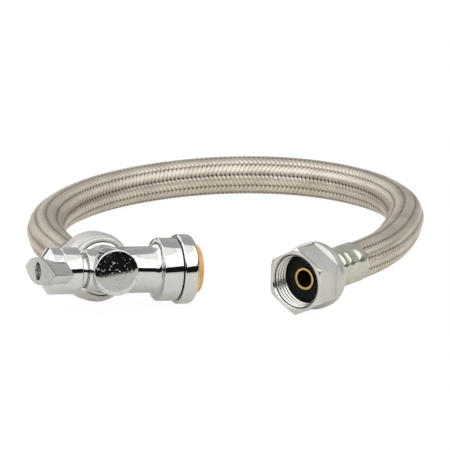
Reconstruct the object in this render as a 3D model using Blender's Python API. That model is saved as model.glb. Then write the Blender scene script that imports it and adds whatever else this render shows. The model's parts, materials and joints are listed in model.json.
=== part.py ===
"""Angle stop valve with a push-to-connect inlet and a fitted braided connector hose.

Lengths are in millimetres in the constants and metres in the scene. The valve stands on
its two socket caps, tipped back, and the hose makes one loop on the surface behind it.
The frame's origin is under the middle of the valve, +X along the inlet, +Z up.
"""

import math

import bmesh
import bpy
from mathutils import Matrix, Vector

MM = 0.001
GAP = 0.3                    # clearance kept between neighbouring pieces

# Standard sizes that everything else follows.
PIPE_OD = 15.9               # 1/2 in CTS pipe
NUT_FLATS = 24.6             # wrench size of the 1/2 in coupling nut
HOSE_OD = 15.8
HOSE_BORE_R = 5.2

# How the valve lies: its inlet arm slopes down, and its outlet arm slopes down to the back.
VALVE_CENTRE = (-4.487, -2.74, 18.02)
INLET_SLOPE = math.radians(5.08)
OUTLET_ROLL = math.radians(-11.55)

# The hose's far end: the middle of the coupling nut's mouth, and where its axis points.
NUT_MOUTH = (66.4, -33.3, 14.95)
NUT_HEADING = math.radians(35.3)
NUT_DROP = math.radians(3.0)

# Radii and places along each arm, from the point where the arms' axes cross.
ARM_R = 9.6
SOCKET_R = 13.0
CAP_R = 14.33
PIPE_SOCKET_R = PIPE_OD / 2 + GAP
PIPE_STOP = 21.0
SOCKET_END = 28.9
SEAL_STEP = 27.3
CAP_FACE = 35.7
COLLAR_FACE = 38.7
COLLAR_R = 10.2
DISC_FACE = 12.0
OUTLET_SHOULDER = 9.6
OUTLET_CAP_END = 22.0
BALL_R = 6.0
PORT_R = 2.6
SEAT_R = 4.2
STEM_R = 3.7
STEM_SQUARE = 5.6
HUB_R = 9.67
HUB_START = 13.2
HUB_END = 25.6
LEVER_START = 21.0
LEVER_FACE = 30.0
LEVER_HALF = 19.5
LEVER_HALF_HEIGHT = 5.6
FERRULE_R = 8.35
FERRULE_LENGTH = 22.0
NUT_LENGTH = 18.8
NUT_HEX_LENGTH = 13.0
NUT_COLLAR_R = 13.8
NUT_BORE_R = 10.2
NUT_WEB = 11.4
INSERT_RING_R = 4.6
INSERT_BORE_R = 3.7

SIDES = 28                   # facets round a large turned piece
SMALL_SIDES = 20

# Points that the hose's centre line passes, from its near ferrule round to its far one.
HOSE_ROUTE = (
    (-5.9, 56.5, 8.02), (-5.5, 72.0, 7.95), (-2.0, 87.0, 7.95), (5.3, 101.0, 7.95),
    (15.4, 112.5, 7.95), (27.7, 121.7, 7.95), (41.7, 128.4, 7.95), (56.7, 132.5, 7.95),
    (72.1, 134.1, 7.95), (87.6, 133.2, 7.95), (102.6, 129.5, 7.95), (116.6, 123.0, 7.95),
    (128.9, 113.6, 7.95), (138.8, 101.6, 7.95), (145.5, 87.8, 7.95), (148.1, 72.6, 7.95),
    (146.1, 57.3, 8.05), (140.5, 43.0, 8.5), (133.2, 29.1, 9.3), (125.1, 16.0, 10.4),
    (115.5, 3.7, 11.6),
)


def clear_scene():
    for old in list(bpy.data.objects):
        bpy.data.objects.remove(old, do_unlink=True)


def material(name, colour, roughness, metallic=0.0):
    made = bpy.data.materials.new(name)
    made.use_nodes = True
    shader = made.node_tree.nodes["Principled BSDF"]
    shader.inputs["Base Color"].default_value = (*colour, 1.0)
    shader.inputs["Roughness"].default_value = roughness
    shader.inputs["Metallic"].default_value = metallic
    return made


def empty(name, parent=None, place=(0, 0, 0), turn=(0, 0, 0)):
    """A frame that pieces hang from; place is in millimetres."""
    made = bpy.data.objects.new(name, None)
    bpy.context.scene.collection.objects.link(made)
    made.parent = parent
    made.location = Vector(place) * MM
    made.rotation_euler = turn
    return made


def add(name, bm, parent, look, helper=False):
    """Put a bmesh, in millimetres, into the scene as a named object."""
    bmesh.ops.remove_doubles(bm, verts=bm.verts, dist=1e-4)
    bmesh.ops.recalc_face_normals(bm, faces=bm.faces)
    bmesh.ops.transform(bm, matrix=Matrix.Scale(MM, 4), verts=bm.verts)
    mesh = bpy.data.meshes.new(name)
    bm.to_mesh(mesh)
    bm.free()
    mesh.shade_smooth()
    mesh.set_sharp_from_angle(angle=math.radians(32))
    made = bpy.data.objects.new(name, mesh)
    bpy.context.scene.collection.objects.link(made)
    made.parent = parent
    if helper:
        made.hide_render = True
        made.display_type = "WIRE"
    else:
        mesh.materials.append(look)
    return made


def turned(name, profile, parent, look=None, sides=SIDES, ring=False):
    """Spin (x, radius) points about the local X axis; ring closes the profile."""
    bm = bmesh.new()
    verts = [bm.verts.new((x, 0.0, radius)) for x, radius in profile]
    pairs = list(zip(verts, verts[1:]))
    if ring:
        pairs.append((verts[-1], verts[0]))
    edges = [bm.edges.new(pair) for pair in pairs]
    bmesh.ops.spin(bm, geom=verts + edges, cent=(0, 0, 0), axis=(1, 0, 0),
                   angle=2 * math.pi, steps=sides, use_merge=True)
    return add(name, bm, parent, look, helper=look is None)


def prism(name, outline, start, end, parent, look=None, edge=0.0):
    """Extrude a (y, z) outline from start to end along the local X axis."""
    bm = bmesh.new()
    base = bm.faces.new([bm.verts.new((start, y, z)) for y, z in outline])
    grown = bmesh.ops.extrude_face_region(bm, geom=[base])["geom"]
    tops = [item for item in grown if isinstance(item, bmesh.types.BMVert)]
    bmesh.ops.translate(bm, vec=(end - start, 0, 0), verts=tops)
    bmesh.ops.recalc_face_normals(bm, faces=bm.faces)
    if edge:
        rims = [e for e in bm.edges if abs(e.verts[0].co.x - e.verts[1].co.x) < 1e-6]
        bmesh.ops.bevel(bm, geom=rims, offset=edge, segments=2, affect="EDGES")
    return add(name, bm, parent, look, helper=look is None)


def o_ring(name, x, centre_r, section_r, parent, look, sides=SMALL_SIDES):
    section = [(x + section_r * math.cos(a), centre_r + section_r * math.sin(a))
               for a in (2 * math.pi * k / 6 for k in range(6))]
    return turned(name, section, parent, look, sides, ring=True)


def combine(target, other, operation="DIFFERENCE"):
    step = target.modifiers.new(other.name, "BOOLEAN")
    step.operation = operation
    step.object = other
    step.solver = "EXACT"
    return target


def arc(centre, radius, start, end, steps):
    """Points of an arc, angles in degrees."""
    return [(centre[0] + radius * math.cos(math.radians(start + (end - start) * k / steps)),
             centre[1] + radius * math.sin(math.radians(start + (end - start) * k / steps)))
            for k in range(steps + 1)]


def square(half):
    return [(-half, -half), (half, -half), (half, half), (-half, half)]


def lens(half_length, half_height, steps=14):
    """A pointed oval made of two arcs, its points rounded off a little."""
    radius = (half_length ** 2 + half_height ** 2) / (2 * half_height)
    reach = math.degrees(math.asin(half_length / radius)) * 0.965
    upper = arc((0, half_height - radius), radius, 90 - reach, 90 + reach, steps)
    lower = arc((0, radius - half_height), radius, 270 - reach, 270 + reach, steps)
    return upper + lower


def make_materials():
    chrome = (0.78, 0.78, 0.76)
    return {
        "chrome": material("chrome", chrome, 0.08, 1.0),
        "satin": material("satin_nickel", (0.66, 0.65, 0.61), 0.38, 1.0),
        "nut": material("nut_plate", (0.74, 0.73, 0.71), 0.2, 1.0),
        "brass": material("brass", (0.78, 0.58, 0.30), 0.28, 1.0),
        "steel": material("stainless", (0.62, 0.60, 0.54), 0.3, 1.0),
        "ferrule": material("ferrule_steel", (0.68, 0.67, 0.58), 0.2, 1.0),
        "ptfe": material("ptfe", (0.86, 0.86, 0.83), 0.5),
        "rubber": material("rubber", (0.02, 0.02, 0.021), 0.55),
        "orange": material("collar_acetal", (0.75, 0.40, 0.12), 0.4),
        "grey": material("spacer_acetal", (0.30, 0.31, 0.32), 0.45),
    }


def inlet_arm_profile():
    flare = arc((17.7, SOCKET_R - 0.4), 3.0, 270, 360, 5)
    return ([(-10.5, 0), (-10.5, 8.4), (-10.1, 8.8), (-2.0, 8.8), (-2.0, ARM_R)]
            + flare + [(21.1, SOCKET_R), (SOCKET_END - 0.4, SOCKET_R),
                       (SOCKET_END, SOCKET_R - 0.4), (SOCKET_END, 12.3), (30.0, 12.3), (30.0, 0)])


def make_body(valve, outlet, looks):
    """The forged tee: inlet arm, outlet arm with its blind disc, and the stem boss."""
    body = turned("valve_body", inlet_arm_profile(), valve, looks["chrome"])
    fillet = arc((5.3, 10.8), 1.3, 270, 360, 3)
    tube = turned("outlet_arm_solid", [(-DISC_FACE, 0), (-DISC_FACE, 9.15), (-11.7, 9.5)]
                  + fillet + [(6.6, 12.4), (7.0, 12.8), (OUTLET_SHOULDER, 12.8),
                              (OUTLET_SHOULDER, 10.2),
                             (19.0, 10.2), (19.0, 0)], outlet)
    chamber = arc((0, 0), 6.5, 90, 46, 4)
    bore = turned("inlet_bore", [(-14.0, 0), (-14.0, 7.3), (-6.5, 7.3), (-6.5, 6.5)]
                  + [(x, r) for x, r in chamber]
                  + [(7.2, 4.5), (7.2, 3.2), (14.0, 3.2), (18.0, 5.6), (PIPE_STOP, 5.6),
                     (PIPE_STOP, PIPE_SOCKET_R), (23.4, PIPE_SOCKET_R), (23.4, 10.3),
                     (SEAL_STEP, 10.3), (SEAL_STEP, 11.45), (31.0, 11.45),
                     (31.0, 0)], valve)
    waterway = turned("outlet_bore", [(0, 0), (0, 4.5), (7.2, 4.5), (7.2, 3.2), (8.4, 3.2),
                                      (8.4, 6.6), (20.0, 6.6), (20.0, 0)], outlet)
    combine(body, tube, "UNION")
    combine(body, bore)
    combine(body, waterway)


def make_ball(valve, outlet, stem, looks):
    """An angle-drilled ball: one port along the stem's axis, the other to the outlet."""
    bm = bmesh.new()
    bmesh.ops.create_uvsphere(bm, u_segments=20, v_segments=12, radius=BALL_R)
    ball = add("ball", bm, valve, looks["chrome"])
    port = [(0, 0), (0, PORT_R), (8.0, PORT_R), (8.0, 0)]
    combine(ball, turned("ball_inlet_port", [(x - 1.0, r) for x, r in port], valve, sides=24))
    combine(ball, turned("ball_outlet_port", port, outlet, sides=24))
    slot = [(-8, -1.5), (8, -1.5), (8, 1.5), (-8, 1.5)]
    combine(ball, prism("ball_slot", slot, 4.4, 8.0, stem))
    clear = bmesh.new()
    bmesh.ops.create_uvsphere(clear, u_segments=20, v_segments=12, radius=BALL_R + GAP)
    room = add("ball_room", clear, valve, None, helper=True)
    seat = [(4.5, PORT_R + 0.2), (6.9, PORT_R + 0.2), (6.9, SEAT_R), (4.5, SEAT_R)]
    for name, parent in (("inlet_seat", valve), ("outlet_seat", outlet)):
        combine(turned(name, seat, parent, looks["ptfe"], SMALL_SIDES, ring=True), room)


def make_stem_parts(stem, looks):
    """Bonnet, stem, its washer and O-rings; distances run out along the stem."""
    bonnet = [(6.7, 5.8), (6.7, 7.0), (15.9, 7.0), (16.4, 6.5), (16.4, 4.1), (9.5, 4.1), (9.5, 5.8)]
    turned("bonnet", bonnet, stem, looks["chrome"], ring=True)
    washer = [(8.5, 4.0), (8.5, 5.5), (9.2, 5.5), (9.2, 4.0)]
    turned("stem_washer", washer, stem, looks["ptfe"], SMALL_SIDES, ring=True)
    shaft = [(6.8, 0), (6.8, 5.2), (8.2, 5.2), (8.2, STEM_R), (10.25, STEM_R), (10.25, 2.2),
             (12.15, 2.2), (12.15, STEM_R), (12.85, STEM_R), (12.85, 2.2), (14.75, 2.2),
             (14.75, STEM_R), (15.4, STEM_R), (15.4, 0)]
    body = turned("stem", shaft, stem, looks["brass"], SMALL_SIDES)
    half = STEM_SQUARE / 2
    combine(body, prism("stem_square_solid", square(half), 15.0, 21.2, stem), "UNION")
    tang = [(-3.5, -1.2), (3.5, -1.2), (3.5, 1.2), (-3.5, 1.2)]
    combine(body, prism("stem_tang_solid", tang, 4.7, 7.2, stem), "UNION")
    thread = [(15.3, 0), (15.3, 2.0), (22.0, 2.0), (22.0, 0)]
    combine(body, turned("stem_screw_hole", thread, stem, sides=16))
    for name, x in (("stem_oring_inner", 11.2), ("stem_oring_outer", 13.8)):
        o_ring(name, x, 3.15, 0.65, stem, looks["rubber"], 24)


def make_handle(stem, looks):
    """The lever: a round hub behind a pointed oval plate, held by one screw."""
    hub = [(HUB_START, 0), (HUB_START, 9.2), (13.7, HUB_R), (20.8, HUB_R), (21.0, 9.4),
           (21.2, HUB_R), (HUB_END, HUB_R), (28.6, 5.4), (28.6, 0)]
    handle = turned("handle", hub, stem, looks["chrome"])
    plate = prism("lever_plate", lens(LEVER_HALF, LEVER_HALF_HEIGHT), LEVER_START, LEVER_FACE,
                  stem)
    combine(handle, plate, "UNION")
    recess = [(12.5, 0), (12.5, 7.4), (16.8, 7.4), (16.8, 2.1), (23.5, 2.1), (23.5, 3.75),
              (31.0, 3.75), (31.0, 0)]
    combine(handle, turned("handle_recess", recess, stem, sides=SMALL_SIDES))
    combine(handle, prism("handle_square_hole", square(STEM_SQUARE / 2 + GAP), 16.0, 21.5, stem))
    screw = turned("handle_screw", [(15.7, 0), (15.7, 1.65), (23.8, 1.65), (23.8, 3.3),
                                    (25.6, 3.3), (26.3, 2.4), (26.3, 0)],
                   stem, looks["steel"], 24)
    cross = [(-2.0, -0.45), (-0.45, -0.45), (-0.45, -2.0), (0.45, -2.0), (0.45, -0.45),
             (2.0, -0.45), (2.0, 0.45), (0.45, 0.45), (0.45, 2.0), (-0.45, 2.0),
             (-0.45, 0.45), (-2.0, 0.45)]
    combine(screw, prism("screw_cross", cross, 25.1, 27.0, stem))


def make_inlet_socket(valve, looks):
    """The push-to-connect socket: cap, release collar, toothed ring, spacer and seal."""
    cap = [(SOCKET_END + GAP, 12.7), (SOCKET_END + GAP, 13.7), (29.7, CAP_R), (33.9, CAP_R)]
    cap += arc((33.9, CAP_R - 1.8), 1.8, 75, 0, 4)
    cap += [(CAP_FACE, COLLAR_R + 0.4), (33.9, COLLAR_R + 0.4), (33.9, 11.6),
            (30.4, 11.6), (30.4, 12.7)]
    turned("inlet_cap", cap, valve, looks["chrome"], ring=True)
    collar = [(31.0, PIPE_SOCKET_R + 0.1), (31.0, 9.2), (31.5, 9.9), (31.5, 11.2), (32.9, 11.2),
              (32.9, COLLAR_R), (COLLAR_FACE - 0.5, COLLAR_R), (COLLAR_FACE, COLLAR_R - 0.5),
              (COLLAR_FACE, PIPE_SOCKET_R + 0.5), (COLLAR_FACE - 0.4, PIPE_SOCKET_R + 0.1)]
    turned("release_collar", collar, valve, looks["orange"], ring=True)
    make_grab_ring(valve, looks)
    spacer = [(25.9, 8.4), (27.9, 8.4), (27.9, 9.8), (28.45, 10.2), (28.45, 11.1), (27.9, 11.1),
              (27.8, 10.0), (25.9, 10.0)]
    turned("oring_spacer", spacer, valve, looks["grey"], SMALL_SIDES, ring=True)
    o_ring("inlet_oring", 24.65, 9.1, 0.85, valve, looks["rubber"])
    liner = [(PIPE_STOP - 2.6, 4.6), (26.5, 4.6), (26.5, 5.3), (PIPE_STOP - 2.6, 5.3)]
    turned("tube_liner", liner, valve, looks["ptfe"], SMALL_SIDES, ring=True)


def make_grab_ring(valve, looks):
    """A thin dished ring with a ring of teeth that lean inwards."""
    disc = [(28.75, 11.05), (29.25, 11.05), (29.25, 9.6), (28.55, 8.3), (28.2, 8.5), (28.75, 9.7)]
    disc = [(x + 0.1, r) for x, r in disc]
    ring = turned("grab_ring", disc, valve, looks["steel"], ring=True)
    for k in range(12):
        turn = empty(f"tooth_gap_{k:02d}_turn", valve, turn=(2 * math.pi * k / 12, 0, 0))
        gap = [(-0.35, 7.9), (0.35, 7.9), (0.35, 9.5), (-0.35, 9.5)]
        combine(ring, prism(f"tooth_gap_{k:02d}", gap, 27.5, 30.0, turn))


def make_outlet_socket(outlet, looks):
    """The outlet cap, and the hose tail that it holds."""
    front = arc((11.9, 13.2), 1.13, 180, 90, 3)
    back = arc((20.2, CAP_R - 1.8), 1.8, 90, 0, 4)
    cap = ([(9.9, 10.6), (9.9, 12.9), (10.4, 13.2)] + front[1:] + back
           + [(OUTLET_CAP_END, 7.4), (20.6, 7.4), (20.6, 10.6)])
    turned("outlet_cap", cap, outlet, looks["satin"], ring=True)
    clip = [(19.3, 5.7), (20.3, 5.7), (20.3, 10.0), (19.3, 10.0)]
    turned("tail_retaining_ring", clip, outlet, looks["steel"], SMALL_SIDES, ring=True)
    tail = [(8.8, 3.6), (8.8, 6.2), (10.6, 6.2), (10.6, 4.7), (12.6, 4.7), (12.6, 6.2),
            (13.8, 6.2), (13.8, 4.7), (15.8, 4.7), (15.8, 6.2), (18.9, 6.2), (18.9, HOSE_BORE_R)]
    tail += barbs(26.0, 3) + [(OUTLET_CAP_END + 18.0, HOSE_BORE_R), (OUTLET_CAP_END + 18.0, 3.6)]
    turned("near_insert", tail, outlet, looks["brass"], SMALL_SIDES, ring=True)
    for name, x in (("tail_oring_inner", 11.6), ("tail_oring_outer", 14.8)):
        o_ring(name, x, 5.65, 0.65, outlet, looks["rubber"], 24)


def barbs(start, count):
    """Shallow grooves that leave barbs on a hose insert."""
    points = []
    for k in range(count):
        x = start + 3.4 * k
        points += [(x, HOSE_BORE_R), (x + 0.4, HOSE_BORE_R - 0.5), (x + 2.6, HOSE_BORE_R)]
    return points


def make_ferrule(name, start, parent, looks):
    """A crimped sleeve: a plain rim, two pressed grooves, the crimp band, then a smooth lip."""
    r = FERRULE_R
    end = start + FERRULE_LENGTH
    outer = [(start, r - 0.5), (start + 0.5, r), (start + 3.0, r), (start + 3.7, r - 0.45),
             (start + 4.4, r), (start + 6.6, r), (start + 7.3, r - 0.45), (start + 8.0, r),
             (start + 8.4, r - 0.3), (start + 15.0, r - 0.3), (start + 16.0, r),
             (end - 0.6, r), (end, r - 0.5)]
    bore = HOSE_BORE_R + GAP
    turned(name, outer + [(end, bore), (start, bore)], parent, looks["ferrule"], 24, ring=True)


def make_nut(far, looks):
    """Coupling nut: milled flats at the mouth, a round shoulder behind, on a flanged insert."""
    corner = NUT_FLATS / math.sqrt(3)
    rear = arc((15.0, 9.6), NUT_COLLAR_R - 9.6, 90, 12, 5)
    blank = [(0, 0), (0, NUT_FLATS / 2 - 0.3), (0.8, corner - 0.3), (1.2, corner), (12.4, corner),
             (13.2, NUT_COLLAR_R)]
    nut = turned("coupling_nut", blank + rear[:-1] + [(NUT_LENGTH, 9.8), (NUT_LENGTH, 0)],
                 far, looks["nut"])
    reach = 20.0
    apothem = NUT_FLATS / 2
    for k in range(6):
        side = empty(f"nut_flat_{k}_turn", far, turn=(math.pi / 3 * (k + 0.5), 0, 0))
        block = [(-reach, apothem), (reach, apothem), (reach, reach), (-reach, reach)]
        combine(nut, prism(f"nut_flat_{k}", block, -1.0, NUT_HEX_LENGTH, side))
    bore = [(-1, 0), (-1, NUT_BORE_R + 0.5), (0.0, NUT_BORE_R + 0.5), (0.9, NUT_BORE_R),
            (NUT_WEB, NUT_BORE_R), (NUT_WEB, HOSE_BORE_R + 0.7), (20, HOSE_BORE_R + 0.7), (20, 0)]
    combine(nut, turned("nut_bore", bore, far))
    ring = INSERT_RING_R
    insert = [(6.4, INSERT_BORE_R), (6.4, ring), (9.5, ring), (9.5, 7.6), (11.1, 7.6), (11.1, HOSE_BORE_R)]
    insert += barbs(24.0, 3) + [(NUT_LENGTH + 18.0, HOSE_BORE_R),
                                (NUT_LENGTH + 18.0, INSERT_BORE_R)]
    turned("far_insert", insert, far, looks["brass"], SMALL_SIDES, ring=True)
    washer = [(6.9, ring + GAP), (6.9, 9.4), (7.4, 9.9), (9.2, 9.9), (9.2, ring + GAP)]
    turned("cone_washer", washer, far, looks["rubber"], ring=True)


def smooth_route(points, leaving, arriving, per_span=2):
    """Cubic curve through the points, leaving and arriving in the given directions."""
    slopes = [leaving * (points[1] - points[0]).length]
    slopes += [(after - before) / 2 for before, after in zip(points, points[2:])]
    slopes.append(arriving * (points[-1] - points[-2]).length)
    path = []
    for a, b, m, n in zip(points, points[1:], slopes, slopes[1:]):
        for k in range(per_span):
            t = k / per_span
            path.append(a * (2 * t ** 3 - 3 * t ** 2 + 1) + m * (t ** 3 - 2 * t ** 2 + t)
                        + b * (3 * t ** 2 - 2 * t ** 3) + n * (t ** 3 - t ** 2))
    return path + [points[-1]]


def make_hose(valve, far, looks):
    """The braided hose, from one ferrule's mouth to the other's."""
    outlet_way, far_way = valve.col[1].to_3d(), far.col[0].to_3d()
    near_end = valve @ Vector((0, OUTLET_CAP_END + FERRULE_LENGTH + 2 * GAP, 0))
    far_end = far @ Vector((NUT_LENGTH + FERRULE_LENGTH + 2 * GAP, 0, 0))
    stub = 1.5                                   # straight stretch beside each ferrule
    route = [near_end + outlet_way * stub] + [Vector(point) for point in HOSE_ROUTE]
    route.append(far_end + far_way * stub)
    path = [near_end] + smooth_route(route, outlet_way, -far_way) + [far_end]
    curve = bpy.data.curves.new("hose", "CURVE")
    curve.dimensions = "3D"
    curve.bevel_depth = HOSE_OD / 2 * MM
    curve.bevel_resolution = 2
    curve.use_fill_caps = True
    spline = curve.splines.new("POLY")
    spline.points.add(len(path) - 1)
    for spot, place in zip(spline.points, path):
        spot.co = (*(place * MM), 1.0)
    curve.materials.append(looks["steel"])
    hose = bpy.data.objects.new("hose", curve)
    bpy.context.scene.collection.objects.link(hose)


def frame_matrix(place, turn_matrix):
    return Matrix.Translation(Vector(place)) @ turn_matrix.to_4x4()


def main():
    clear_scene()
    looks = make_materials()
    tilt = Matrix.Rotation(INLET_SLOPE, 3, "Y") @ Matrix.Rotation(OUTLET_ROLL, 3, "X")
    valve = empty("valve_frame", place=VALVE_CENTRE, turn=tilt.to_euler())
    outlet = empty("outlet_axis", valve, turn=(0, 0, math.pi / 2))
    stem = empty("stem_axis", valve, turn=(0, 0, math.pi))
    far = empty("far_end", place=NUT_MOUTH, turn=(0, NUT_DROP, NUT_HEADING))
    make_body(valve, outlet, looks)
    make_ball(valve, outlet, stem, looks)
    make_stem_parts(stem, looks)
    make_handle(stem, looks)
    make_inlet_socket(valve, looks)
    make_outlet_socket(outlet, looks)
    make_ferrule("near_ferrule", OUTLET_CAP_END + GAP, outlet, looks)
    make_ferrule("far_ferrule", NUT_LENGTH + GAP, far, looks)
    make_nut(far, looks)
    heading = Matrix.Rotation(NUT_HEADING, 3, "Z") @ Matrix.Rotation(NUT_DROP, 3, "Y")
    make_hose(frame_matrix(VALVE_CENTRE, tilt), frame_matrix(NUT_MOUTH, heading), looks)
    bpy.context.view_layer.update()


main()
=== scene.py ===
"""Looks for the angle stop valve and its braided connector hose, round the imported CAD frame.

Lengths in the constants are millimetres, the scene is in metres, and every turned piece is
made along its own X axis and then set into the valve's, the outlet's, the stem's or the nut's
frame, so that an object's own coordinates run along its axis.
"""

import json
import math

import bmesh
import bpy
from mathutils import Matrix, Vector

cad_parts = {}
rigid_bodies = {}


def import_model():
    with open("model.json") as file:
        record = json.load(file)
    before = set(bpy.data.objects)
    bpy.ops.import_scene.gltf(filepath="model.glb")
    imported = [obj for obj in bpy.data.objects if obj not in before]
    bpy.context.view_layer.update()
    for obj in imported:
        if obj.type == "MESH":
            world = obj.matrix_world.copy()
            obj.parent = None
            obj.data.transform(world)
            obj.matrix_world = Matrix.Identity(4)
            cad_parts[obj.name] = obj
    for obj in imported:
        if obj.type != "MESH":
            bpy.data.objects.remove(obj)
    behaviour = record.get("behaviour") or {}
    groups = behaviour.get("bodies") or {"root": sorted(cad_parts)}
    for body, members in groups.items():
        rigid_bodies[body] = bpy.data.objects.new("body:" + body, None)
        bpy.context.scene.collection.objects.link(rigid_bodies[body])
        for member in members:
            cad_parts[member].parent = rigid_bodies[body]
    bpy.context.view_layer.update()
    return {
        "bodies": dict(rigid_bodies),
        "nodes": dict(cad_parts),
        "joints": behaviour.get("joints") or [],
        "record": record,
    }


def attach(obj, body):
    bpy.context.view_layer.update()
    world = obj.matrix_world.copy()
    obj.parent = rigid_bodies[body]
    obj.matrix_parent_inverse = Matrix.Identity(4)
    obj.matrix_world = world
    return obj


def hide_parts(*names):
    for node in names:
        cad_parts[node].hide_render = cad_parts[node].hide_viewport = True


MM = 0.001
TURN = 2 * math.pi

# Where the four axes are, as the CAD has them.
VALVE_CENTRE = (-4.487, -2.74, 18.02)
INLET_SLOPE = math.radians(5.08)
OUTLET_ROLL = math.radians(-11.55)
NUT_MOUTH = (66.4, -33.3, 14.95)
NUT_HEADING = math.radians(35.3)
NUT_DROP = math.radians(3.0)

# Sizes shared with the CAD.
ARM_R = 9.6
SOCKET_R = 13.0
CAP_R = 14.33
CAP_ROUND = 1.8               # rounding of each cap's rim
SOCKET_END = 28.9
CAP_FACE = 35.7
COLLAR_FACE = 38.7
COLLAR_R = 10.2
PIPE_SOCKET_R = 8.25
PIPE_STOP = 21.0
DISC_FACE = 12.0
OUTLET_CAP_END = 22.0
HUB_R = 9.67
HUB_START = 13.2
HUB_END = 25.6
LEVER_START = 21.0
LEVER_FACE = 30.0
LEVER_HALF = 19.5
LEVER_HALF_HEIGHT = 5.6
LEVER_CROWN = 1.05            # how far the blade's tips stand back from its middle
BLADE_TIP = 0.985             # how much of its half length is left of the sharp oval
BLADE_STEPS = 40              # mesh steps along the blade
STEM_SQUARE = 5.6
FERRULE_R = 8.35
FERRULE_LENGTH = 22.0
FERRULE_GAP = 0.3
PRESSES = ((4.6, 1.7, 10), (8.7, 1.8, 10), (14.2, 3.3, 18))    # rows: middle, half width, steps
PRESS_DEPTH = 0.5
PRESS_FLATS = 8               # presses in each row round a sleeve
FERRULE_SIDES = 176           # facets round a sleeve
NUT_FLATS = 24.6
NUT_LENGTH = 18.8
NUT_HEX_LENGTH = 13.0
NUT_COLLAR_R = 13.8
NUT_WEB = 11.4
NUT_CREST_R = 10.2            # inside thread
NUT_ROOT_R = 10.85
THREAD_PITCH = 1.81
THREAD_START = 0.75
THREAD_LENGTH = 8.7
THREAD_ENTRY = 1.1            # length over which the thread rises to its full depth
THREAD_STEPS = 90
HOSE_OD = 15.8
HOSE_TUCK = 2.5               # how far the hose goes into each ferrule
HOSE_STUB = 1.5               # straight length in front of each ferrule
HOSE_SPAN_STEPS = 12          # curve steps between two points of the route
HOSE_ROUTE = (                # the centre line's free part, from the valve to the nut
    (-5.9, 56.5, 8.02), (-5.5, 72.0, 7.95), (-2.0, 87.0, 7.95), (5.3, 101.0, 7.95),
    (15.4, 112.5, 7.95), (27.7, 121.7, 7.95), (41.7, 128.4, 7.95), (56.7, 132.5, 7.95),
    (72.1, 134.1, 7.95), (87.6, 133.2, 7.95), (102.6, 129.5, 7.95), (116.6, 123.0, 7.95),
    (128.9, 113.6, 7.95), (138.8, 101.6, 7.95), (145.5, 87.8, 7.95), (148.1, 72.6, 7.95),
    (146.1, 57.3, 8.05), (140.5, 43.0, 8.5), (133.2, 29.1, 9.3), (125.1, 16.0, 10.4),
    (115.5, 3.7, 11.6),
)

# The braid: columns of slanted strands, each column leaning the other way to its neighbours.
BRAID_COLUMNS = 10
BRAID_STARTS = 13            # strands that lean one way, all round the hose
BRAID_PITCH = 2.0            # from one strand to the next, along the hose
BRAID_AROUND = 80            # mesh steps round the hose
BRAID_STEP = 0.29            # mesh step along the hose
BRAID_LOBE = 0.4             # how far a column's sides fall below its middle
BRAID_GROOVE = 0.2           # how far the gaps between strands lie below them
BRAID_WIRES = 5              # wires side by side in a strand

CHROME = (0.60, 0.60, 0.59)   # how much bright plate gives back

# The camera: a long lens far away, looking a little down from the front left.
CAMERA_AIM = (67.3, 59.0, 11.0)
CAMERA_HEADING = math.radians(18.7)
CAMERA_DROP = math.radians(18.0)
CAMERA_DISTANCE = 5.0
CAMERA_LENS = 960.0

# The studio's light by height, from straight down (0.0) to straight up (1.0).
GROUND = (0.77, 0.755, 0.71)
ROOM_LIGHT = ((0.0, GROUND), (0.528, GROUND), (0.5292, 0.012), (0.682, 0.012), (0.694, 1.9),
              (0.935, 1.8), (0.939, 0.9), (0.944, 1.35), (1.0, 1.3))
WALL_LIGHT = ((0.0, GROUND), (0.5, 0.66), (0.53, 0.36), (0.585, 0.36), (0.61, 0.58),
              (0.72, 0.58), (0.80, 0.55), (1.0, 0.55))
PANEL_LIGHT = ((0.0, GROUND), (0.5, 0.9), (0.53, 0.2), (0.615, (0.10, 0.11, 0.13)), (0.64, 1.5),
               (0.75, 1.6), (0.85, 0.7), (1.0, 0.55))
WALL_EDGE = (-0.27, -0.36)    # a direction's share towards the camera, where room turns to wall
PANEL_EDGE = (0.2, 0.02)      # a direction's X, where the wall turns to the panel at its left
BACKDROP = (1.05, 1.05, 1.05, 1.0)

FLOOR_R = 1500.0
FLOOR_COLOUR = (0.56, 0.55, 0.525)
FLOOR_UNDERLIGHT = (1.0, 0.98, 0.94, 1.0)
FLOOR_UNDERLIGHT_STRENGTH = 0.34
FLOOR_WHITE = 1.02            # the white that the camera sees
FLOOR_WHITE_SHARE = 0.93      # and how much of the floor it makes up

ROUND = 96                    # facets round a turned piece
FINE_ROUND = 128              # and round a large bright one
NUT_ROUND = 144               # and round the nut, a multiple of its six sides


# ---------------------------------------------------------------- frames

def moved(place, *turns):
    """A frame at a place in millimetres, turned by (angle, axis) pairs in order."""
    made = Matrix.Translation(Vector(place) * MM)
    for angle, axis in turns:
        made = made @ Matrix.Rotation(angle, 4, axis)
    return made


VALVE = moved(VALVE_CENTRE, (INLET_SLOPE, "Y"), (OUTLET_ROLL, "X"))
OUTLET = VALVE @ Matrix.Rotation(math.pi / 2, 4, "Z")
STEM = VALVE @ Matrix.Rotation(math.pi, 4, "Z")
FAR = moved(NUT_MOUTH, (NUT_HEADING, "Z"), (NUT_DROP, "Y"))


# ---------------------------------------------------------------- mesh helpers

def arc(centre, radius, start, end, steps):
    """Points of an arc, angles in degrees."""
    return [(centre[0] + radius * math.cos(math.radians(start + (end - start) * k / steps)),
             centre[1] + radius * math.sin(math.radians(start + (end - start) * k / steps)))
            for k in range(steps + 1)]


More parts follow.
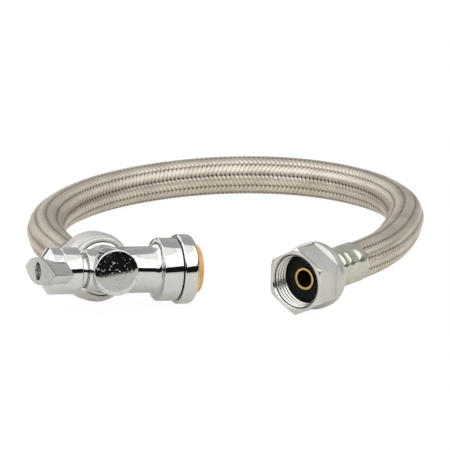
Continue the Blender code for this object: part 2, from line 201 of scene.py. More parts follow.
def mesh_object(name, bm, frame, sharp=28):
    """A bmesh in millimetres, as an object in a frame, smooth but for edges over sharp degrees."""
    bmesh.ops.remove_doubles(bm, verts=bm.verts, dist=1e-5)
    bmesh.ops.recalc_face_normals(bm, faces=bm.faces)
    bmesh.ops.transform(bm, matrix=Matrix.Scale(MM, 4), verts=bm.verts)
    mesh = bpy.data.meshes.new(name)
    bm.to_mesh(mesh)
    bm.free()
    mesh.shade_smooth()
    mesh.set_sharp_from_angle(angle=math.radians(sharp))
    made = bpy.data.objects.new(name, mesh)
    bpy.context.scene.collection.objects.link(made)
    made.matrix_world = frame
    return made


def softened(profile, radius, closed=False, steps=3):
    """Rounds each corner of a profile that is sharper than about 20 degrees."""
    points = [Vector(p) for p in profile]
    made = []
    for k, here in enumerate(points):
        if not closed and k in (0, len(points) - 1):
            made.append(here)
            continue
        before, after = points[k - 1], points[(k + 1) % len(points)]
        back, ahead = before - here, after - here
        if back.length < 1e-6 or ahead.length < 1e-6 or back.angle(ahead) > math.radians(160):
            made.append(here)
            continue
        reach = min(radius, back.length * 0.42, ahead.length * 0.42)
        start, end = here + back.normalized() * reach, here + ahead.normalized() * reach
        for i in range(steps + 1):
            t = i / steps
            made.append(start * (1 - t) ** 2 + here * 2 * t * (1 - t) + end * t ** 2)
    return [tuple(p) for p in made]


def turned(name, profile, frame, sides=ROUND, ring=False, soft=0.0):
    """Spins (x, radius) points about the frame's X axis; ring closes the profile."""
    if soft:
        profile = softened(profile, soft, closed=ring)
    bm = bmesh.new()
    verts = [bm.verts.new((x, 0.0, radius)) for x, radius in profile]
    pairs = list(zip(verts, verts[1:]))
    if ring:
        pairs.append((verts[-1], verts[0]))
    edges = [bm.edges.new(pair) for pair in pairs]
    bmesh.ops.spin(bm, geom=verts + edges, cent=(0, 0, 0), axis=(1, 0, 0), angle=TURN,
                   steps=sides, use_merge=True)
    return mesh_object(name, bm, frame)


def prism(name, outline, start, end, frame):
    """Extrudes a (y, z) outline from start to end along the frame's X axis."""
    bm = bmesh.new()
    base = bm.faces.new([bm.verts.new((start, y, z)) for y, z in outline])
    grown = bmesh.ops.extrude_face_region(bm, geom=[base])["geom"]
    tops = [item for item in grown if isinstance(item, bmesh.types.BMVert)]
    bmesh.ops.translate(bm, vec=(end - start, 0, 0), verts=tops)
    return mesh_object(name, bm, frame)


def combined(target, steps, bevel=0.0, limit=30):
    """Booleans (operation, helper) steps onto the target, and bevels edges over limit degrees."""
    helpers = []
    for operation, helper in steps:
        step = target.modifiers.new(helper.name, "BOOLEAN")
        step.operation = operation
        step.object = helper
        step.solver = "EXACT"
        helpers.append(helper)
    if bevel:
        weld = target.modifiers.new("weld", "WELD")
        weld.merge_threshold = 0.00002
        edge = target.modifiers.new("edges", "BEVEL")
        edge.width = bevel * MM
        edge.segments = 3
        edge.limit_method = "ANGLE"
        edge.angle_limit = math.radians(limit)
        edge.miter_outer = "MITER_ARC"
        edge.use_clamp_overlap = True
    bpy.context.view_layer.update()
    shape = target.evaluated_get(bpy.context.evaluated_depsgraph_get())
    mesh = bpy.data.meshes.new_from_object(shape)
    target.modifiers.clear()
    target.data = mesh
    mesh.shade_smooth()
    mesh.set_sharp_from_angle(angle=math.radians(35))
    for helper in helpers:
        bpy.data.objects.remove(helper, do_unlink=True)


def grid_tube(name, rings, frame, sharp=40, wrap=True):
    """A closed skin over rings of points; wrap joins the last ring to the first, or both are capped."""
    bm = bmesh.new()
    rows = [[bm.verts.new(p) for p in ring] for ring in rings]
    pairs = list(zip(rows, rows[1:])) + ([(rows[-1], rows[0])] if wrap else [])
    for a, b in pairs:
        for k in range(len(a)):
            n = (k + 1) % len(a)
            bm.faces.new((a[k], a[n], b[n], b[k]))
    if not wrap:
        bm.faces.new(rows[0])
        bm.faces.new(rows[-1])
    return mesh_object(name, bm, frame, sharp)


def around(x, radius_at, sides=ROUND):
    """One ring of points at x, its radius in millimetres a function of the angle."""
    return [(x, radius_at(TURN * k / sides) * math.sin(TURN * k / sides),
             radius_at(TURN * k / sides) * math.cos(TURN * k / sides)) for k in range(sides)]


# ---------------------------------------------------------------- materials

class Nodes:
    """A node tree, with the kinds of node that are used over and over."""

    def __init__(self, tree):
        self.tree = tree

    def node(self, kind, **values):
        """A new node; each value is one of its properties, or else goes to the named input."""
        made = self.tree.nodes.new(kind)
        for key, value in values.items():
            if hasattr(made, key):
                setattr(made, key, value)
            else:
                made.inputs[key.replace("_", " ")].default_value = value
        return made

    def link(self, source, target):
        self.tree.links.new(source, target)

    def feed(self, target, value):
        """Links an output to the input, or sets the input to a plain value."""
        if isinstance(value, bpy.types.NodeSocket):
            self.link(value, target)
        else:
            target.default_value = value

    def along(self, place, axis):
        """One coordinate of a place or a direction."""
        split = self.node("ShaderNodeSeparateXYZ")
        self.link(place, split.inputs[0])
        return split.outputs[axis]

    def ramp(self, source, stops):
        """Colours by a 0 to 1 source; stops are (position, grey or colour)."""
        made = self.node("ShaderNodeValToRGB")
        band = made.color_ramp
        while len(band.elements) < len(stops):
            band.elements.new(0.5)
        for element, (place, value) in zip(band.elements, stops):
            element.position = place
            element.color = (*value, 1.0) if isinstance(value, tuple) else (value,) * 3 + (1.0,)
        self.link(source, made.inputs["Fac"])
        return made.outputs["Color"]

    def spread(self, source, low, high, from_low=0.3, from_high=0.7):
        """Maps one range to low to high; without a range given, that of a noise."""
        made = self.node("ShaderNodeMapRange", From_Min=from_low, From_Max=from_high,
                         To_Min=low, To_Max=high)
        self.link(source, made.inputs["Value"])
        return made.outputs["Result"]

    def blend(self, share, plain, other):
        """The plain colour where share is 0, the other where it is 1."""
        made = self.node("ShaderNodeMix", data_type="RGBA")
        for socket, value in ((0, share), (6, plain), (7, other)):
            self.feed(made.inputs[socket], value)
        return made.outputs[2]

    def math(self, operation, a, b=0.5):
        made = self.node("ShaderNodeMath", operation=operation)
        self.feed(made.inputs[0], a)
        self.feed(made.inputs[1], b)
        return made.outputs[0]


class Look(Nodes):
    """A material on one Principled shader, textured in the object's own coordinates."""

    def __init__(self, name, colour, roughness, metallic=0.0, **sockets):
        self.material = bpy.data.materials.new(name)
        self.material.use_nodes = True
        super().__init__(self.material.node_tree)
        self.shader = self.tree.nodes["Principled BSDF"]
        self.set("Base Color", (*colour, 1.0))
        self.set("Roughness", roughness)
        self.set("Metallic", metallic)
        for socket, value in sockets.items():
            self.set(socket.replace("_", " "), value)
        self.place = self.node("ShaderNodeTexCoord").outputs["Object"]
        self.bump = None

    def set(self, socket, value):
        self.shader.inputs[socket].default_value = value

    def use(self, socket, source):
        self.link(source, self.shader.inputs[socket])

    def stretched(self, scale):
        """The object's own coordinates, scaled differently along each axis."""
        mapping = self.node("ShaderNodeMapping", Scale=scale)
        self.link(self.place, mapping.inputs["Vector"])
        return mapping.outputs["Vector"]

    def noise(self, scale, detail=3.0, where=None):
        """Noise with scale features to the metre."""
        made = self.node("ShaderNodeTexNoise", Scale=scale, Detail=detail, Roughness=0.55)
        self.link(where or self.place, made.inputs["Vector"])
        return made.outputs["Fac"]

    def lathe_rings(self, pitch, distortion):
        """Rings across the object's X axis, pitch in millimetres."""
        made = self.node("ShaderNodeTexWave", wave_type="BANDS", bands_direction="X",
                         Scale=1.0 / (pitch * MM) / 20.0 * TURN, Distortion=distortion)
        self.link(self.place, made.inputs["Vector"])
        return made.outputs["Fac"]

    def attribute(self, name):
        return self.node("ShaderNodeAttribute", attribute_name=name).outputs["Fac"]

    def between(self, axis, low, high):
        """0 to 1 as the object's own coordinate goes from low to high, in millimetres."""
        return self.spread(self.along(self.place, axis), 0.0, 1.0, low * MM, high * MM)

    def mottle(self, scale, dark, light, detail=3.0, top=0.7):
        """A base colour that wanders from dark, at a noise of 0.3, to light, at top."""
        self.use("Base Color", self.ramp(self.noise(scale, detail), [(0.3, dark), (top, light)]))

    def smudge(self, scale, low, high):
        """A roughness that wanders from low to high."""
        self.use("Roughness", self.spread(self.noise(scale), low, high))

    def raised(self, height, depth, strength=1.0):
        """Adds a bump; depth in millimetres."""
        made = self.node("ShaderNodeBump", Strength=strength, Distance=depth * MM)
        self.link(height, made.inputs["Height"])
        if self.bump:
            self.link(self.bump, made.inputs["Normal"])
        self.bump = made.outputs["Normal"]
        self.use("Normal", self.bump)


def chrome(name):
    """Bright plate over a polished forging, to which chrome_surface adds its unevenness."""
    return Look(name, CHROME, 0.06, 1.0)


def chrome_surface(look, worn=None):
    """Very slight waves and faint wipes; where worn is 1, the rough skin of the casting."""
    look.raised(look.noise(160, 2.0), 0.0025)
    look.raised(look.noise(900, 2.0), 0.0015)
    smears = look.noise(1.0, 4.0, look.stretched((60, 420, 420)))
    rough = look.spread(smears, 0.01, 0.035)
    pale = look.ramp(look.noise(220), [(0.3, tuple(c * 0.95 for c in CHROME)),
                                       (0.7, tuple(c * 1.04 for c in CHROME))])
    if worn:
        rough = look.math("ADD", rough, look.math("MULTIPLY", worn, 0.2))
        dull = look.ramp(look.noise(1300, 4.0), [(0.3, (0.3, 0.3, 0.29)), (0.62, (0.5, 0.5, 0.48))])
        pale = look.blend(worn, pale, dull)
        look.raised(look.math("MULTIPLY", worn, look.noise(1100)), 0.09)
    look.use("Roughness", rough)
    look.use("Base Color", pale)
    return look.material


def chrome_tee():
    """The tee's plate, with the forging's pits left showing on the blind disc."""
    look = chrome("chrome_tee")
    chrome_surface(look)
    disc = look.math("MULTIPLY", look.between("Y", -DISC_FACE + 0.5, -DISC_FACE + 0.3),
                     look.between("X", ARM_R + 1.0, ARM_R + 0.8))
    pits = look.ramp(look.noise(850), [(0.62, 0.0), (0.72, 1.0)])
    look.raised(look.math("MULTIPLY", disc, pits), 0.035)
    return look.material


def chrome_lever():
    """The lever's plate, thin over the cast end of its blade."""
    look = chrome("chrome_lever")
    return chrome_surface(look, look.between("X", LEVER_FACE - 1.5, LEVER_FACE - 1.25))


def satin():
    """Fine nickel satin, with a grain of about a tenth of a millimetre."""
    look = Look("satin_plate", (0.55, 0.54, 0.51), 0.46, 1.0)
    look.raised(look.noise(6500, 2.0), 0.006)
    look.raised(look.noise(300, 2.0), 0.02)
    look.smudge(500, 0.42, 0.54)
    look.mottle(180, (0.60, 0.59, 0.555), (0.70, 0.69, 0.655))
    return look.material


def nut_plate(name, rough, mouth=None):
    """Softer plate with drawn-bar marks along the flats, and a brighter cut face before mouth."""
    look = Look(name, (0.66, 0.65, 0.63), rough, 1.0)
    drawn = look.noise(1.0, 3.0, look.stretched((150, 1700, 1700)))
    look.raised(drawn, 0.008)
    look.raised(look.noise(260, 2.0), 0.02)
    grain = look.spread(drawn, rough - 0.05, rough + 0.06)
    if mouth:
        cut = look.between("X", mouth + 0.3, mouth)
        grain = look.math("SUBTRACT", grain, look.math("MULTIPLY", cut, rough - 0.16))
    look.use("Roughness", grain)
    look.mottle(200, (0.53, 0.525, 0.505), (0.62, 0.615, 0.59), detail=4.0)
    return look.material


def ferrule_steel():
    """Pressed sleeve steel, a little yellow, with the press's faint dents."""
    look = Look("ferrule_steel", (0.66, 0.66, 0.56), 0.2, 1.0)
    look.raised(look.noise(350), 0.03)
    look.raised(look.noise(2600, 2.0), 0.006)
    look.smudge(700, 0.15, 0.29)
    look.mottle(260, (0.47, 0.48, 0.405), (0.62, 0.62, 0.54), top=0.72)
    return look.material


def braid():
    """Fine satin wires along each strand; painted shade darkens the colour in the gaps between strands
    and where the strands dive at the column edges.
    """
    look = Look("hose_braid", (0.6, 0.57, 0.5), 0.3, 1.0)
    wires = look.math("SINE", look.math("MULTIPLY", look.attribute("across"), TURN * BRAID_WIRES))
    look.raised(wires, 0.02, 0.8)
    look.raised(look.noise(1400, 2.0), 0.015)
    look.smudge(500, 0.33, 0.44)
    pale = look.ramp(look.noise(90), [(0.3, (0.56, 0.505, 0.425)), (0.7, (0.70, 0.64, 0.555))])
    # Painted shade: the base colour is blended towards near black in the gaps between strands and along
    # the column edges, where the braid's shade falls.
    painted_shade = look.ramp(look.attribute("painted_gap_shade"), [(0.08, 0.0), (0.8, 1.0)])
    look.use("Base Color", look.blend(painted_shade, pale, (0.06, 0.04, 0.022, 1.0)))
    return look.material


def brass():
    """Turned brass, with the tool's fine rings."""
    look = Look("turned_brass", (0.83, 0.60, 0.28), 0.24, 1.0)
    look.raised(look.lathe_rings(0.25, 0.6), 0.008)
    look.smudge(900, 0.18, 0.34)
    look.mottle(300, (0.55, 0.37, 0.15), (0.68, 0.47, 0.21))
    return look.material


def stainless():
    """Stainless steel with marks across its axis; its colour is darkened to stand for the shade in the
    lever's screw recess, a painted shade.
    """
    # Painted shade: the dark base colour and mottle stand for the shade that falls in the screw's
    # recess.
    look = Look("stamped_steel", (0.3, 0.3, 0.29), 0.3, 1.0)
    look.raised(look.noise(1.0, 2.0, look.stretched((4000, 300, 300))), 0.01)
    look.smudge(800, 0.22, 0.4)
    look.mottle(400, 0.24, 0.36)
    return look.material


def plastic(name, dark, light, roughness=0.38, **sockets):
    """Moulded plastic: a slight unevenness of colour, and fine spark-eroded grain."""
    look = Look(name, light, roughness, **sockets)
    look.raised(look.noise(3200, 2.0), 0.012)
    look.smudge(700, roughness - 0.06, roughness + 0.08)
    look.mottle(240, dark, light)
    return look.material


def rubber():
    """Black moulded rubber, nearly without a shine."""
    look = Look("black_rubber", (0.012, 0.012, 0.013), 0.5, Specular_IOR_Level=0.16)
    look.raised(look.noise(2400), 0.02)
    look.smudge(600, 0.42, 0.62)
    look.mottle(800, (0.002, 0.002, 0.0022), (0.007, 0.007, 0.0075), top=0.75)
    return look.material


def make_looks():
    """The materials by slot; chrome_tee, chrome_lever and nut_thread are variants in a slot."""
    return {
        "chrome_plate": chrome_surface(chrome("chrome_plate")),
        "chrome_tee": chrome_tee(),
        "chrome_lever": chrome_lever(),
        "satin_plate": satin(),
        "nut_plate": nut_plate("nut_plate", 0.42, mouth=1.1),
        "nut_thread": nut_plate("nut_thread", 0.24),
        "ferrule_steel": ferrule_steel(),
        "braid": braid(),
        "brass": brass(),
        "stainless": stainless(),
        "ptfe": plastic("white_ptfe", (0.78, 0.78, 0.75), (0.88, 0.88, 0.85), 0.42),
        "spacer_plastic": plastic("grey_acetal", (0.22, 0.23, 0.24), (0.32, 0.33, 0.34)),
        "collar_plastic": plastic("amber_acetal", (0.69, 0.36, 0.07), (0.78, 0.42, 0.10), 0.42,
                                  Subsurface_Weight=0.15, Subsurface_Scale=0.002),
        "black_rubber": rubber(),
    }


# ---------------------------------------------------------------- pieces

def dress(piece, looks, slot, body, *nodes, look=None):
    """Gives a piece its look, its body, its slot, and the CAD nodes that it stands for."""
    piece.data.materials.clear()
    piece.data.materials.append(looks[look or slot])
    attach(piece, body)
    if nodes:
        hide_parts(*nodes)


def hermite(points, leaving, arriving, per_span):
    """Cubic curve through the points, leaving and arriving in the given directions."""
    slopes = [leaving * (points[1] - points[0]).length]
    slopes += [(after - before) / 2 for before, after in zip(points, points[2:])]
    slopes.append(arriving * (points[-1] - points[-2]).length)
    path = []
    for a, b, m, n in zip(points, points[1:], slopes, slopes[1:]):
        for k in range(per_span):
            t = k / per_span
            path.append(a * (2 * t ** 3 - 3 * t ** 2 + 1) + m * (t ** 3 - 2 * t ** 2 + t)
                        + b * (3 * t ** 2 - 2 * t ** 3) + n * (t ** 3 - t ** 2))
    return path + [points[-1]]


def even_steps(path, step):
    """The path walked in equal steps, as near to the wanted step as its length allows."""
    lengths = [0.0]
    for a, b in zip(path, path[1:]):
        lengths.append(lengths[-1] + (b - a).length)
    count = round(lengths[-1] / step)
    made, k = [], 0
    for i in range(count + 1):
        want = lengths[-1] * i / count
        while k < len(path) - 2 and lengths[k + 1] < want:
            k += 1
        share = (want - lengths[k]) / (lengths[k + 1] - lengths[k])
        made.append(path[k].lerp(path[k + 1], share))
    return made


def hose_path():
    """The hose's centre line in millimetres, from inside one ferrule to inside the other."""
    out, back = OUTLET.col[0].to_3d(), FAR.col[0].to_3d()
    near = OUTLET.translation / MM + out * (OUTLET_CAP_END + FERRULE_LENGTH + 2 * FERRULE_GAP)
    far = FAR.translation / MM + back * (NUT_LENGTH + FERRULE_LENGTH + 2 * FERRULE_GAP)
    route = [near + out * HOSE_STUB, *map(Vector, HOSE_ROUTE), far + back * HOSE_STUB]
    free = hermite(route, out, -back, HOSE_SPAN_STEPS)
    return [near - out * HOSE_TUCK] + free + [far - back * HOSE_TUCK]


def braid_fall(angle, along):
    """(fall below the crown in mm, depth of the painted gap shade, place across the strand) at a point.
    """
    column = angle / TURN * BRAID_COLUMNS
    lean = 1 if int(column) % 2 == 0 else -1
    place = column % 1.0
    strand = (along / BRAID_PITCH - lean * angle / TURN * BRAID_STARTS) % 1.0
    gap = abs(2 * strand - 1) ** 3.5
    edge = 1 - math.sin(math.pi * place)
    fall = BRAID_LOBE * edge + BRAID_GROOVE * gap * (0.5 + 0.5 * edge)
    # The second value is painted shade for the colour, darkest in the gaps between strands and at the
    # column edges.
    return fall, gap * (0.38 + 0.62 * edge) + 0.35 * edge ** 3, strand


def make_hose(looks):
    """The braided hose, and its centre line in metres; each ring is turned as little as can be."""
    path = even_steps(hose_path(), BRAID_STEP)
    side = (path[1] - path[0]).cross(Vector((0, 0, 1))).normalized()
    rings, painted_gap_shade, across, along = [], [], [], 0.0
    for k, here in enumerate(path):
        ahead = (path[min(k + 1, len(path) - 1)] - path[max(k - 1, 0)]).normalized()
        side = (side - ahead * side.dot(ahead)).normalized()
        up = side.cross(ahead)
        ring = []
        for j in range(BRAID_AROUND):
            angle = TURN * j / BRAID_AROUND
            fall, shade, strand = braid_fall(angle + 1e-6, along)
            radius = HOSE_OD / 2 - fall
            ring.append(here + (side * math.sin(angle) + up * math.cos(angle)) * radius)
            painted_gap_shade.append(shade)
            across.append(strand)
        rings.append(ring)
        if k:
            along += (here - path[k - 1]).length
    hose = grid_tube("hose_braid", rings, Matrix.Identity(4), sharp=180, wrap=False)
    # The shade values are stored on the mesh and drive the braid's painted shade.
    for name, values in (("painted_gap_shade", painted_gap_shade), ("across", across)):
        layer = hose.data.attributes.new(name, "FLOAT", "POINT")
        layer.data.foreach_set("value", values)
    dress(hose, looks, "braid", "valve", "hose")
    return hose, [point * MM for point in path]


def facet_radius(angle, flats, apothem):
    """Radius of a flat-sided press at an angle, a flat facing angle 0."""
    step = TURN / flats
    return apothem / math.cos((angle + step / 2) % step - step / 2)


def ferrule_rings(start):
    """Outer rings of a crimped sleeve: its rows of presses, then the smooth lip."""
    r = FERRULE_R
    rings = []

    def ring(x, radius, press=0.0):
        rings.append(around(start + x, lambda a: min(radius, facet_radius(a, PRESS_FLATS, r - press)),
                            FERRULE_SIDES))

    for x, radius in ((0.0, r - 0.45), (0.12, r - 0.15), (0.35, r), (2.7, r)):
        ring(x, radius)
    for middle, half, steps in PRESSES:
        for k in range(steps + 1):
            share = 2 * k / steps - 1
            ring(middle + half * share, r, PRESS_DEPTH * (1 - abs(share) ** 2.6) ** 0.8)
    for x, radius in ((18.6, r), (21.4, r), (21.85, r - 0.2), (FERRULE_LENGTH, r - 0.4)):
        ring(x, radius)
    return rings


def make_ferrules(looks):
    """The two sleeves, each with its wide bore over the hose and a narrower one behind it."""
    bore = HOSE_OD / 2 + 0.05
    for name, start, frame in (("near", OUTLET_CAP_END + FERRULE_GAP, OUTLET),
                               ("far", NUT_LENGTH + FERRULE_GAP, FAR)):
        rings = ferrule_rings(start)
        for x, radius in ((21.7, bore), (18.0, bore), (0.0, bore - 2.2)):
            rings.append(around(start + x, lambda a, q=radius: q, FERRULE_SIDES))
        sleeve = grid_tube(f"{name}_crimped_sleeve", rings, frame, sharp=50)
        dress(sleeve, looks, "ferrule_steel", "valve", f"{name}_ferrule")


def make_nut(looks):
    """The hexagon and its collar, turned as one blank, with six flats and the bore cut out."""
    corner = NUT_FLATS / math.sqrt(3)
    flat = NUT_FLATS / 2
    beyond = 20.0
    rear = arc((15.0, 9.6), NUT_COLLAR_R - 9.6, 90, 8, 12)
    blank = [(0.0, 0.0), (0.0, 13.2), (0.12, 13.35), (0.7, corner), (12.6, corner),
             (13.4, NUT_COLLAR_R)] + rear + [(NUT_LENGTH, 9.5), (NUT_LENGTH, 0.0)]
    nut = turned("nut_shell", blank, FAR, NUT_ROUND)
    steps = []
    for k in range(6):
        side = FAR @ Matrix.Rotation(math.pi / 3 * (k + 0.5), 4, "X")
        block = [(-beyond, flat), (beyond, flat), (beyond, beyond), (-beyond, beyond)]
        cutter = prism(f"nut_cut_{k}", block, -1.0, NUT_HEX_LENGTH - 1.0, side)
        for vert in cutter.data.vertices:
            if vert.co.x > 0:
                vert.co.x += max(0.0, vert.co.z - flat * MM) * 0.8
        steps.append(("DIFFERENCE", cutter))
    bore = [(-1, 0), (-1, 12.3), (0.95, NUT_ROOT_R + 0.1), (NUT_WEB, NUT_ROOT_R + 0.1),
            (NUT_WEB, 6.0), (beyond, 6.0), (beyond, 0)]
    steps.append(("DIFFERENCE", turned("nut_bore", bore, FAR, NUT_ROUND)))
    combined(nut, steps, 0.28, 24)
    dress(nut, looks, "nut_plate", "nut", "coupling_nut")
    make_thread(looks)


def make_thread(looks):
    """The nut's inside thread, a helical skin on a thin sleeve."""
    rings = []
    for k in range(THREAD_STEPS + 1):
        x = THREAD_START + THREAD_LENGTH * k / THREAD_STEPS
        entry = min(1.0, max(0.0, (x - THREAD_START) / THREAD_ENTRY))

        def radius(angle, x=x, entry=entry):
            phase = (x / THREAD_PITCH + angle / TURN) % 1.0
            tooth = min(1.0, max(0.0, 1.25 - abs(2 * phase - 1) * 1.9))
            return NUT_ROOT_R - (NUT_ROOT_R - NUT_CREST_R) * tooth * entry

        rings.append(around(x, radius))
    for x in (THREAD_START + THREAD_LENGTH, THREAD_START):
        rings.append(around(x, lambda a: NUT_ROOT_R + 0.06))
    sleeve = grid_tube("nut_thread", rings, FAR, sharp=60)
    dress(sleeve, looks, "nut_plate", "nut", look="nut_thread")


def make_nut_inside(looks):
    """The insert's rim and the cone washer round it, seen through the nut's mouth."""
    ring = [(9.4, 3.9), (6.75, 3.9), (6.5, 3.97), (6.4, 4.15), (6.4, 4.3), (6.5, 4.52),
            (6.75, 4.6), (9.4, 4.6)]
    tip = turned("insert_tip", ring, FAR, 64, ring=True)
    dress(tip, looks, "brass", "valve")
    washer = [(6.95, 4.7), (6.75, 5.3), (6.75, 9.2), (7.05, 9.75), (7.4, 10.05), (9.2, 10.05),
              (9.2, 4.7)]
    face = turned("cone_washer_face", washer, FAR, ring=True, soft=0.2)
    dress(face, looks, "black_rubber", "valve", "cone_washer")


def make_body(looks):
    """The forged tee, in one skin with its blind disc and the stem's neck."""
    flare = arc((17.7, SOCKET_R - 0.4), 3.0, 270, 360, 10)
    arm = softened([(-10.5, 0), (-10.5, 8.4), (-10.1, 8.8), (-2.0, 8.8), (-2.0, ARM_R)]
                   + flare + [(21.1, SOCKET_R), (SOCKET_END, SOCKET_R), (SOCKET_END, 12.3),
                              (30.0, 12.3), (30.0, 0)], 0.3)
    body = turned("valve_tee", arm, VALVE)
    fillet = arc((5.3, 10.8), 1.3, 270, 360, 6)
    dome = [(-DISC_FACE - 0.12 * (1 - (r / 9.1) ** 2), r) for r in (0, 2, 4, 6, 7.6, 9.1)]
    tube = turned("outlet_tube", dome + [(-11.93, 9.3), (-11.75, 9.46), (-11.4, 9.5)] + fillet
                  + softened([(9.5, 10.8), (9.5, 10.2), (19.0, 10.2), (19.0, 0)], 0.3), OUTLET)
    inlet = turned("inlet_hollow", [(-14.0, 0), (-14.0, 7.3), (-6.5, 7.3), (-6.5, 6.5)]
                   + arc((0, 0), 6.5, 90, 46, 6)
                   + [(7.2, 4.5), (7.2, 3.2), (14.0, 3.2), (18.0, 5.6), (PIPE_STOP, 5.6),
                      (PIPE_STOP, PIPE_SOCKET_R), (23.4, PIPE_SOCKET_R), (23.4, 10.3),
                      (27.3, 10.3), (27.3, 11.45), (31.0, 11.45), (31.0, 0)], VALVE)
    water = turned("outlet_hollow", [(0, 0), (0, 4.5), (7.2, 4.5), (7.2, 3.2), (8.4, 3.2),
                                     (8.4, 6.6), (20.0, 6.6), (20.0, 0)], OUTLET)
    combined(body, [("UNION", tube), ("DIFFERENCE", inlet), ("DIFFERENCE", water)], 0.3, 40)
    dress(body, looks, "chrome_plate", "valve", "valve_body", look="chrome_tee")


def make_caps(looks):
    """The bright cap on the inlet, and the satin ring and cap on the outlet."""
    cap = [(SOCKET_END + 0.3, 12.7), (SOCKET_END + 0.3, 13.8), (29.7, CAP_R), (33.9, CAP_R)]
    cap += arc((33.9, CAP_R - CAP_ROUND), CAP_ROUND, 75, 0, 8)
    cap += [(CAP_FACE, COLLAR_R + 0.4), (33.9, COLLAR_R + 0.4), (33.9, 11.6), (30.4, 11.6),
            (30.4, 12.7)]
    inlet = turned("inlet_cap_skin", cap, VALVE, FINE_ROUND, ring=True, soft=0.16)
    dress(inlet, looks, "chrome_plate", "valve", "inlet_cap")
    flange = [(6.65, 11.3), (6.65, 12.3), (7.1, 12.8), (9.6, 12.8), (9.6, 11.3)]
    ring = turned("outlet_flange", flange, OUTLET, FINE_ROUND, ring=True, soft=0.12)
    dress(ring, looks, "satin_plate", "valve")
    front = [(9.9, 10.6), (9.9, 13.0), (10.1, 13.2), (13.0, CAP_R)]
    back = arc((OUTLET_CAP_END - CAP_ROUND, CAP_R - CAP_ROUND), CAP_ROUND, 90, 0, 8)
    rim = front + back + [(OUTLET_CAP_END, 7.4), (20.6, 7.4), (20.6, 10.6)]
    outlet = turned("outlet_cap_skin", rim, OUTLET, FINE_ROUND, ring=True, soft=0.16)
    dress(outlet, looks, "satin_plate", "valve", "outlet_cap")


def make_collar(looks):
    """The release collar: its barrel, its rounded face and the shoulder that keeps it in."""
    profile = [(31.0, PIPE_SOCKET_R + 0.1), (31.0, 9.2), (31.5, 9.9), (31.5, 11.2), (32.9, 11.2),
               (32.9, COLLAR_R), (COLLAR_FACE - 0.5, COLLAR_R), (COLLAR_FACE, COLLAR_R - 0.5),
               (COLLAR_FACE, PIPE_SOCKET_R + 0.5), (COLLAR_FACE - 0.4, PIPE_SOCKET_R + 0.1)]
    collar = turned("collar_moulding", profile, VALVE, FINE_ROUND, ring=True, soft=0.25)
    dress(collar, looks, "collar_plastic", "collar", "release_collar")


def blade():
    """The lever's blade: a pointed oval in end view, its end face crowned along its length."""
    radius = (LEVER_HALF ** 2 + LEVER_HALF_HEIGHT ** 2) / (2 * LEVER_HALF_HEIGHT)
    rings = []
    for k in range(BLADE_STEPS + 1):
        y = LEVER_HALF * (2 * k / BLADE_STEPS - 1) * BLADE_TIP
        half = math.sqrt(radius ** 2 - y ** 2) - radius + LEVER_HALF_HEIGHT
        end = LEVER_FACE - LEVER_CROWN * (y / LEVER_HALF) ** 2
        rings.append([(LEVER_START, y, -half), (LEVER_START, y, half), (end, y, half), (end, y, -half)])
    return grid_tube("lever_blade", rings, STEM, sharp=20, wrap=False)


def square(half):
    return [(-half, -half), (half, -half), (half, half), (-half, half)]


def make_handle(looks):
    """The hub and its blade as one casting, and the screw in it."""
    hub = softened([(HUB_START, 0), (HUB_START, 9.2), (13.7, HUB_R), (20.7, HUB_R), (21.0, 9.3),
                    (21.3, HUB_R), (HUB_END, HUB_R), (28.6, 5.4), (28.6, 0)], 0.15)
    handle = turned("lever_casting", hub, STEM)
    recess = turned("lever_recess", [(12.5, 0), (12.5, 7.4), (16.8, 7.4), (16.8, 2.1),
                                     (23.5, 2.1), (23.5, 3.75), (31.0, 3.75), (31.0, 0)], STEM, 64)
    hole = prism("lever_square", square(STEM_SQUARE / 2 + 0.3), 16.0, 21.5, STEM)
    combined(handle, [("UNION", blade()), ("DIFFERENCE", recess), ("DIFFERENCE", hole)], 0.3, 32)
    dress(handle, looks, "chrome_plate", "lever", "handle", look="chrome_lever")
    head = turned("screw_head", softened([(15.7, 0), (15.7, 1.65), (23.8, 1.65), (23.8, 3.3),
                                          (25.4, 3.3), (26.1, 2.4), (26.3, 0)], 0.2), STEM, 48)
    cross = [(-2.0, -0.45), (-0.45, -0.45), (-0.45, -2.0), (0.45, -2.0), (0.45, -0.45),
             (2.0, -0.45), (2.0, 0.45), (0.45, 0.45), (0.45, 2.0), (-0.45, 2.0),
             (-0.45, 0.45), (-2.0, 0.45)]
    combined(head, [("DIFFERENCE", prism("screw_cut", cross, 25.1, 27.0, STEM))])
    dress(head, looks, "stainless", "lever", "handle_screw")


def make_bonnet(looks):
    """The sleeve that holds the stem in the neck."""
    profile = [(6.7, 5.8), (6.7, 7.0), (15.9, 7.0), (16.4, 6.5), (16.4, 4.1), (9.5, 4.1), (9.5, 5.8)]
    bonnet = turned("bonnet_sleeve", profile, STEM, ring=True, soft=0.2)
    dress(bonnet, looks, "chrome_plate", "valve", "bonnet")


def dress_inner_parts(frame, looks):
    """The CAD's own inner pieces keep their shape and take their record's material."""
    slots = {row["node"]: row["material_slot"] for row in frame["record"]["subparts"]}
    for name, node in frame["nodes"].items():
        if node.hide_render:
            continue
        node.data.materials.clear()
        node.data.materials.append(looks[slots[name]])
        node.data.shade_smooth()
        node.data.set_sharp_from_angle(angle=math.radians(32))


# ---------------------------------------------------------------- stage

def make_camera():
    """The scene's camera, aimed from its heading and its drop below the horizon."""
    forward = Vector((math.sin(CAMERA_HEADING) * math.cos(CAMERA_DROP),
                      math.cos(CAMERA_HEADING) * math.cos(CAMERA_DROP), -math.sin(CAMERA_DROP)))
    data = bpy.data.cameras.new("camera")
    data.lens = CAMERA_LENS
    data.sensor_width = 36.0
    data.clip_start, data.clip_end = 0.1, 50.0
    camera = bpy.data.objects.new("camera", data)
    bpy.context.scene.collection.objects.link(camera)
    camera.location = Vector(CAMERA_AIM) * MM - forward * CAMERA_DISTANCE
    camera.rotation_euler = forward.to_track_quat("-Z", "Y").to_euler()
    bpy.context.scene.camera = camera


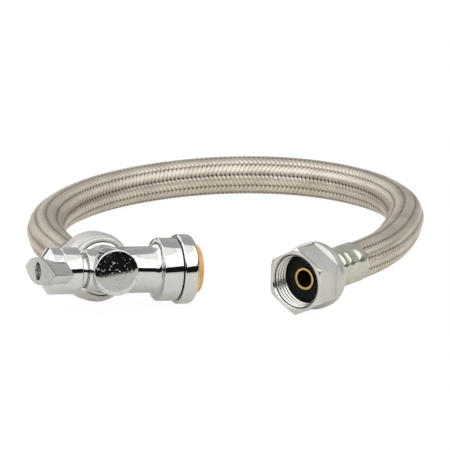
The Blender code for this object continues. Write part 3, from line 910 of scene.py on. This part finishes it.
def make_floor():
    """A pale board, lit from below as in catalogue work, so that hardly a shadow shows on it."""
    bm = bmesh.new()
    bmesh.ops.create_circle(bm, cap_ends=True, segments=ROUND, radius=FLOOR_R)
    floor = mesh_object("floor", bm, Matrix.Identity(4))
    look = Look("floor_board", FLOOR_COLOUR, 0.9, Emission_Color=FLOOR_UNDERLIGHT,
                Emission_Strength=FLOOR_UNDERLIGHT_STRENGTH, Specular_IOR_Level=0.0)
    white = look.node("ShaderNodeEmission", Color=(1.0, 1.0, 1.0, 1.0), Strength=FLOOR_WHITE)
    rays = look.node("ShaderNodeLightPath")
    share = look.math("MULTIPLY", rays.outputs["Is Camera Ray"], FLOOR_WHITE_SHARE)
    both = look.node("ShaderNodeMixShader")
    for source, socket in ((share, 0), (look.shader.outputs[0], 1), (white.outputs[0], 2)):
        look.link(source, both.inputs[socket])
    look.link(both.outputs[0], look.tree.nodes["Material Output"].inputs["Surface"])
    floor.data.materials.append(look.material)


def studio_light(sky):
    """A dark room under a wide softbox, with a grey wall behind the part and a panel at its left."""
    way = sky.node("ShaderNodeTexCoord").outputs["Generated"]
    height = sky.spread(sky.along(way, "Z"), 0.0, 1.0, -1.0, 1.0)
    room, wall, panel = (
        sky.ramp(height, [(spot, light if isinstance(light, tuple) else (light, light, light * 0.99))
                          for spot, light in stops])
        for stops in (ROOM_LIGHT, WALL_LIGHT, PANEL_LIGHT))
    leftward = sky.spread(sky.along(way, "X"), 0.0, 1.0, *PANEL_EDGE)
    facing = sky.node("ShaderNodeVectorMath", operation="DOT_PRODUCT")
    facing.inputs[1].default_value = (-math.sin(CAMERA_HEADING), -math.cos(CAMERA_HEADING), 0)
    sky.link(way, facing.inputs[0])
    behind = sky.spread(facing.outputs["Value"], 0.0, 1.0, *WALL_EDGE)
    return sky.blend(behind, room, sky.blend(leftward, wall, panel))


def make_world():
    """The studio for everything that light reaches, and a plain white backdrop for the camera."""
    world = bpy.data.worlds.new("studio")
    bpy.context.scene.world = world
    world.use_nodes = True
    world.node_tree.nodes.clear()
    sky = Nodes(world.node_tree)
    light = sky.node("ShaderNodeBackground")
    sky.link(studio_light(sky), light.inputs["Color"])
    plain = sky.node("ShaderNodeBackground", Color=BACKDROP)
    rays = sky.node("ShaderNodeLightPath")
    pick = sky.node("ShaderNodeMixShader")
    for source, socket in ((rays.outputs["Is Camera Ray"], 0), (light.outputs[0], 1),
                           (plain.outputs[0], 2)):
        sky.link(source, pick.inputs[socket])
    out = sky.node("ShaderNodeOutputWorld")
    sky.link(pick.outputs[0], out.inputs["Surface"])


def main():
    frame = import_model()
    make_camera()
    looks = make_looks()
    hose, path = make_hose(looks)
    make_ferrules(looks)
    make_nut(looks)
    make_nut_inside(looks)
    make_body(looks)
    make_caps(looks)
    make_collar(looks)
    make_handle(looks)
    make_bonnet(looks)
    dress_inner_parts(frame, looks)
    make_floor()
    make_world()
    view = bpy.context.scene.view_settings
    view.view_transform = "Standard"
    view.look = "None"


main()
